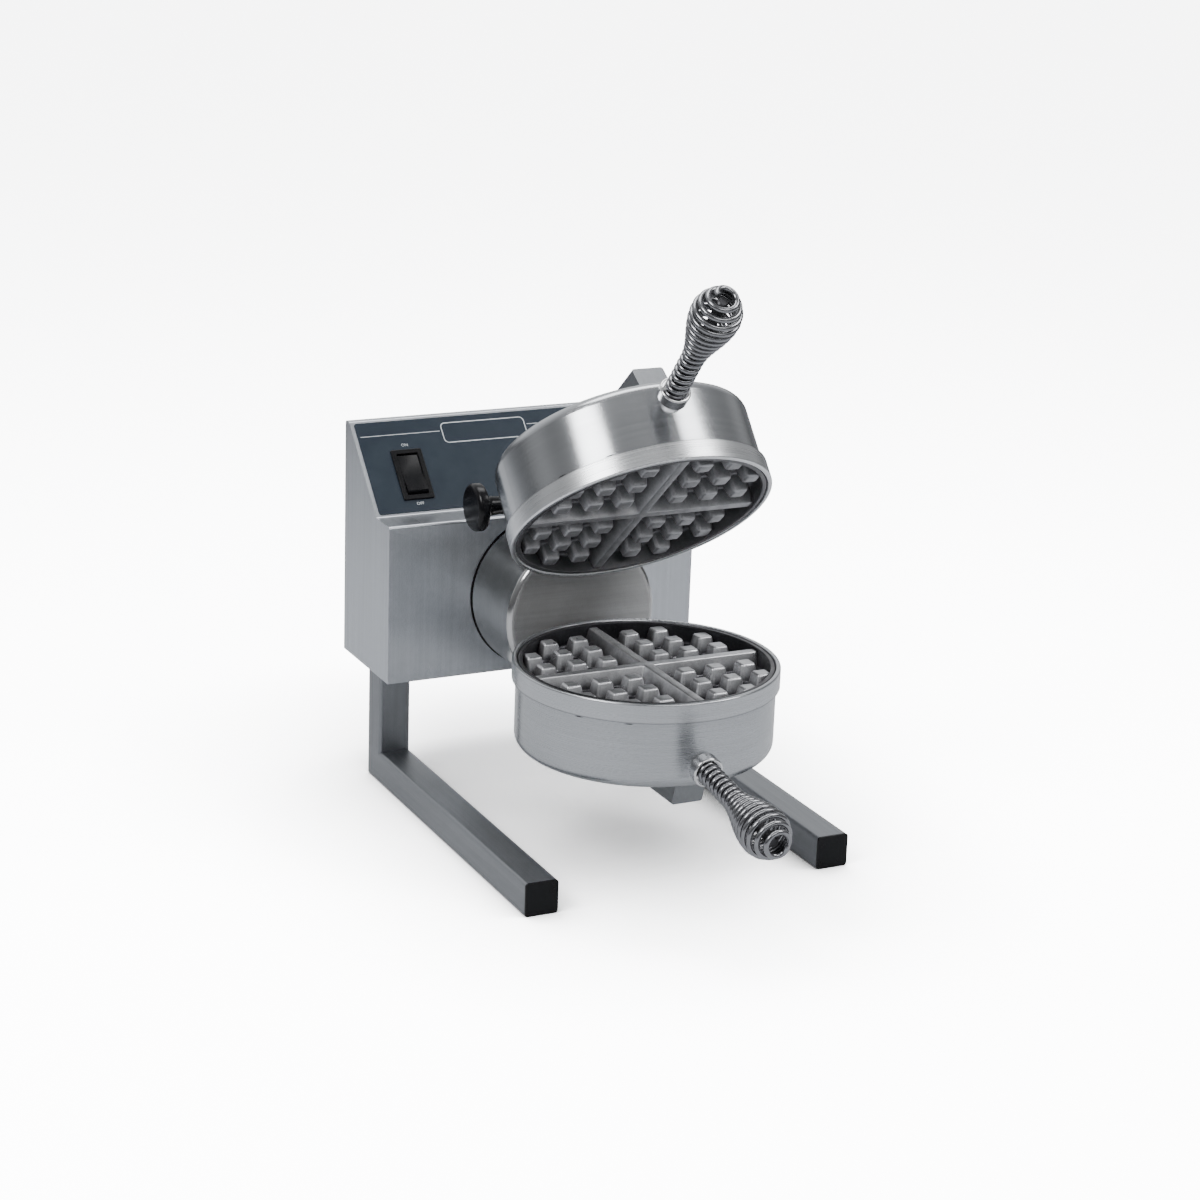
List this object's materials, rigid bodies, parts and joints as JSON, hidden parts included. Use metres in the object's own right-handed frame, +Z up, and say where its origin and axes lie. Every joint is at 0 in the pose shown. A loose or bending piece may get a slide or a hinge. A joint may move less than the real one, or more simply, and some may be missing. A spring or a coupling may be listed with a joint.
{
  "type": "waffle maker",
  "caption": "Commercial waffle baker: two round hinged heads with coil handles, carried by a turning drum on a sloped housing with runner legs.",
  "frame": {"origin": "centre of the footprint, on the surface that the runners stand on", "axes": "+Z up, -Y to the front with the handles, +X to the right seen from the front"},
  "size_m": [0.261, 0.4951, 0.4431],
  "materials": {
    "brushed_sheet": "satin",
    "drum_steel": "satin",
    "leg_steel": "satin",
    "head_steel": "satin",
    "rim_steel": "satin",
    "arm_steel": "satin",
    "grid_casting": "satin",
    "bearing_casting": "matte",
    "machined_steel": "satin",
    "fasteners": "gloss",
    "coil_wire": "gloss",
    "handle_metal": "gloss",
    "black_plastic": "satin",
    "gloss_black": "gloss",
    "panel_film": "satin",
    "lamp_red": "gloss",
    "bronze": "satin",
    "element_sheath": "satin",
    "thermostat_metal": "satin",
    "insulation_wool": "matte",
    "board_green": "satin",
    "cable_black": "matte"
  },
  "bodies": {
    "stand": {"housing_shell": "brushed_sheet", "base_tray": "brushed_sheet", "rear_cover": "brushed_sheet", "rear_cover_screws": "fasteners", "leg_left": "leg_steel", "leg_right": "leg_steel", "leg_bolts": "fasteners", "runner_end_caps": "black_plastic", "panel_overlay": "panel_film", "switch_body": "gloss_black", "indicator_lamp": "lamp_red", "button_ring": "gloss_black", "bearing_block": "bearing_casting", "bearing_block_screws": "fasteners", "rear_bearing_bracket": "arm_steel", "shaft_bushes": "bronze", "cord_gland": "black_plastic", "terminal_block": "black_plastic", "timer_board": "board_green", "supply_harness": "cable_black"},
    "rotor": {"drum_shell": "drum_steel", "drum_back_plate": "drum_steel", "hub_shaft": "machined_steel", "hub_block": "machined_steel", "hub_bolts": "fasteners", "stop_collar": "machined_steel", "hinge_pin": "machined_steel", "lower_arm_lock_bolts": "fasteners", "hold_open_bracket": "arm_steel", "drum_lead": "cable_black", "lower_arm": "arm_steel", "lower_arm_bolts": "fasteners", "lower_trim_ring": "rim_steel", "lower_head_pan": "head_steel", "lower_waffle_grid": "grid_casting", "lower_heating_element": "element_sheath", "lower_thermostat": "thermostat_metal", "lower_insulation": "insulation_wool", "lower_head_lead": "cable_black", "lower_handle_rod": "handle_metal", "lower_handle_socket": "handle_metal", "lower_handle_coil": "coil_wire"},
    "lid": {"upper_arm": "arm_steel", "upper_arm_bolts": "fasteners", "upper_trim_ring": "rim_steel", "upper_head_pan": "head_steel", "upper_waffle_grid": "grid_casting", "upper_heating_element": "element_sheath", "upper_thermostat": "thermostat_metal", "upper_insulation": "insulation_wool", "upper_head_lead": "cable_black", "upper_handle_rod": "handle_metal", "upper_handle_socket": "handle_metal", "upper_handle_coil": "coil_wire", "hold_open_sleeve": "machined_steel", "hold_open_spring": "coil_wire"},
    "hold_open_knob": {"hold_open_knob": "gloss_black", "hold_open_pin": "machined_steel"},
    "switch_rocker": {"switch_rocker": "gloss_black"},
    "timer_button": {"timer_button": "gloss_black"}
  },
  "joints": [
    {"name": "head_flip", "type": "hinge", "parent": "stand", "child": "rotor", "pos_m": [0, 0.17257, 0.1498], "axis": [0, 1, 0], "range_deg": [0, 95]},
    {"name": "lid_hinge", "type": "hinge", "parent": "rotor", "child": "lid", "pos_m": [0, 0.10317, 0.1797], "axis": [1, 0, 0], "range_deg": [0, 40.9]},
    {"name": "hold_open_slide", "type": "slide", "parent": "lid", "child": "hold_open_knob", "axis": [1, 0, 0], "range_m": [0, 0.005], "stiffness_N_per_m": 600, "springref_m": -0.004, "deforming": ["hold_open_spring"]},
    {"name": "switch_rock", "type": "hinge", "parent": "stand", "child": "switch_rocker", "pos_m": [-0.0917, 0.19294, 0.23428], "axis": [1, 0, 0], "range_deg": [0, 10]},
    {"name": "timer_push", "type": "slide", "parent": "stand", "child": "timer_button", "axis": [0, 0.7169, -0.6972], "range_m": [0, 0.0025], "stiffness_N_per_m": 500, "springref_m": -0.003}
  ]
}
